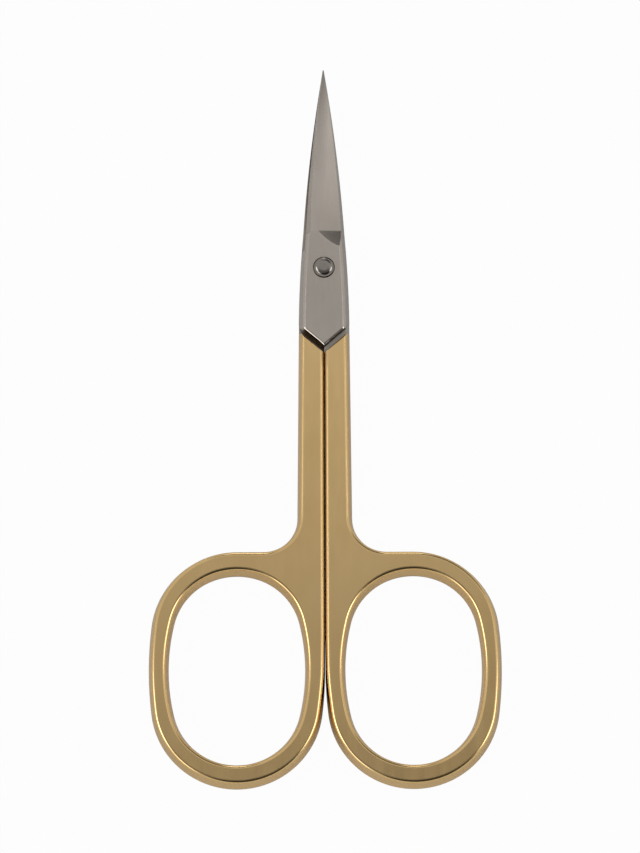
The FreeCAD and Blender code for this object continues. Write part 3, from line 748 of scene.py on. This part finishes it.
def add_floor():
    """A pale floor that is white to the camera, partly so in reflections, and keeps the shadow."""
    mesh = bpy.data.meshes.new("floor")
    reach, height = 3.0, -0.02 * MM
    plan = ((-reach, -reach), (reach, -reach), (reach, reach), (-reach, reach))
    corners = [(x, y, height) for x, y in plan]
    mesh.from_pydata(corners, [], [(0, 1, 2, 3)])
    floor = bpy.data.objects.new("floor", mesh)
    bpy.context.scene.collection.objects.link(floor)
    material = bpy.data.materials.new("floor")
    material.use_nodes = True
    tree = material.node_tree
    tree.nodes.remove(tree.nodes["Principled BSDF"])
    diffuse = add_node(tree, "ShaderNodeBsdfDiffuse")
    diffuse.inputs["Color"].default_value = (0.66, 0.66, 0.66, 1)
    white = add_node(tree, "ShaderNodeEmission")
    mix = add_node(tree, "ShaderNodeMixShader")
    path = add_node(tree, "ShaderNodeLightPath")
    white_share = None
    for ray, share in FLOOR_WHITE_SHARES:
        part = add_node(tree, "ShaderNodeMath", operation="MULTIPLY_ADD")
        part.inputs[1].default_value = share
        part.inputs[2].default_value = 0
        link(tree, path.outputs[ray], part.inputs[0])
        if white_share:
            link(tree, white_share, part.inputs[2])
        white_share = part.outputs["Value"]
    link(tree, white_share, mix.inputs["Fac"])
    link(tree, diffuse.outputs["BSDF"], mix.inputs[1])
    link(tree, white.outputs["Emission"], mix.inputs[2])
    link(tree, mix.outputs["Shader"], tree.nodes["Material Output"].inputs["Surface"])
    mesh.materials.append(material)


def direction(azimuth, tilt):
    """A direction by its azimuth from +X and its tilt from straight up, in degrees."""
    azimuth, tilt = math.radians(azimuth), math.radians(tilt)
    return (math.cos(azimuth) * math.sin(tilt), math.sin(azimuth) * math.sin(tilt), math.cos(tilt))


# Soft areas of the studio: azimuth, tilt, inner and outer radius in degrees, brightness
STUDIO_BASE = 0.55
STUDIO_AREAS = [
    (90, 15, 22, 42, 0.57),      # plain ceiling
    (44, 20.9, 2, 6, 0.78),      # lighter patch of it
    (180, 42, 9, 16, 3.0),       # left lamp
    (0, 42, 9, 16, 2.6),         # right lamp
    (74, 52, 21, 25.5, 0.16),    # dark end of the ceiling
    (90, 62, 5, 9, 2.0),         # small far lamp
    (270, 12, 22.5, 27, 0.2),    # darker ceiling over the camera
    (288, 36, 25, 31, 0.04),     # dark side of the room, behind the camera
    (216, 46, 7, 13, 1.8),       # small lamp on its left
    (79, 10.2, 0.8, 3.2, 0.1),   # dark spot of the ceiling
]


def add_studio():
    """Soft studio light round the object, as smooth areas of one world."""
    world = bpy.data.worlds.new("studio")
    world.use_nodes = True
    bpy.context.scene.world = world
    tree = world.node_tree
    background = tree.nodes["Background"]
    place = add_node(tree, "ShaderNodeTexCoord")
    level = None
    for azimuth, tilt, inner, outer, brightness in STUDIO_AREAS:
        dot = add_node(tree, "ShaderNodeVectorMath", operation="DOT_PRODUCT")
        dot.inputs[1].default_value = direction(azimuth, tilt)
        link(tree, place.outputs["Generated"], dot.inputs[0])
        mask = add_node(tree, "ShaderNodeMapRange", interpolation_type="SMOOTHSTEP")
        mask.inputs["From Min"].default_value = math.cos(math.radians(outer))
        mask.inputs["From Max"].default_value = math.cos(math.radians(inner))
        link(tree, dot.outputs["Value"], mask.inputs["Value"])
        mix = add_node(tree, "ShaderNodeMix", data_type="FLOAT")
        mix.inputs[2].default_value = STUDIO_BASE
        mix.inputs[3].default_value = brightness
        if level:
            link(tree, level, mix.inputs[2])
        link(tree, mask.outputs["Result"], mix.inputs[0])
        level = mix.outputs[0]
    link(tree, level, background.inputs["Strength"])
    background.inputs["Color"].default_value = (1, 1, 1, 1)


def dress(piece, node, body, material):
    """Put a piece in the place of a CAD node, with its finish."""
    piece.data.materials.clear()
    piece.data.materials.append(material)
    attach(piece, body)
    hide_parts(node)


bpy.context.scene.view_settings.view_transform = "Standard"
add_camera()
add_floor()
add_studio()

# the third colour of each metal is its painted shade in the crevices
gold = metal("gold_plating", ((0.92, 0.635, 0.285), (0.97, 0.675, 0.315)), (0.22, 0.1, 0.02),
             (0.11, 0.17), ((1, 0.2, 1), 900), 0.12)
steel = metal("ground_steel", ((0.585, 0.525, 0.46), (0.635, 0.572, 0.505)), (0.02, 0.016, 0.012),
              (0.15, 0.2), ((1, 0.06, 1), 6000), 0.1)
polished = metal("polished_steel", ((0.33, 0.3, 0.268), (0.375, 0.343, 0.308)), (0.02, 0.016, 0.012),
                 (0.1, 0.16), ((1, 1, 1), 1500), 0.1)

front_blade = make_blade("front_blade_ground", 1, head_bore(), False)
rear_blade = make_blade("rear_blade_ground", -1, tail_bore(), True)
front_handle = make_handle("front_handle_plated", False)
rear_handle = make_handle("rear_handle_plated", True)
rivet = make_rivet("pivot_rivet_polished")
dress(front_blade, "front_blade", "front_half", steel)
dress(rear_blade, "rear_blade", "rear_half", steel)
dress(front_handle, "front_handle", "front_half", gold)
dress(rear_handle, "rear_handle", "rear_half", gold)
dress(rivet, "pivot_rivet", "rear_half", polished)
